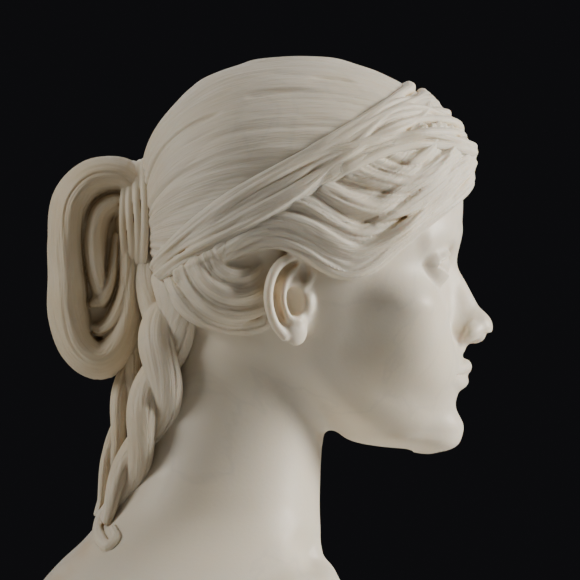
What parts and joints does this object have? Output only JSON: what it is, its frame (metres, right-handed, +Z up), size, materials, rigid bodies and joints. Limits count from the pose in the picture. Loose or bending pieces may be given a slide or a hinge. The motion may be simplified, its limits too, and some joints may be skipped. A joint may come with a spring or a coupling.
{
  "type": "marble portrait bust on a turning socle",
  "caption": "Life-size marble bust of a woman with tied-back hair, free to turn on a round waisted socle and square plinth.",
  "frame": {"origin": "middle of the flat underside of the baize, on the pivot's axis", "axes": "+Z up along the pivot; the face looks along -Y; +X is the figure's left"},
  "size_m": [0.3834, 0.2944, 0.6285],
  "materials": {
    "statuary_marble": "satin",
    "socle_marble": "satin",
    "baize": "matte",
    "steel": "satin",
    "lead": "matte",
    "bronze": "satin",
    "brass": "satin",
    "plaster": "matte"
  },
  "bodies": {
    "base": {"socle": "socle_marble", "plinth": "socle_marble", "baize_pad": "baize", "bearing_washer": "bronze", "socle_bush": "brass", "bush_bedding": "plaster", "clamp_washer": "steel"},
    "figure": {"bust": "statuary_marble", "pivot_pin": "steel", "lead_sleeve": "lead", "clamp_nut": "steel", "lock_nut": "steel"}
  },
  "joints": [
    {"name": "bust_turn", "type": "hinge", "parent": "base", "child": "figure", "pos_m": [0, 0, 0.134], "axis": [0, 0, 1], "continuous": true}
  ]
}
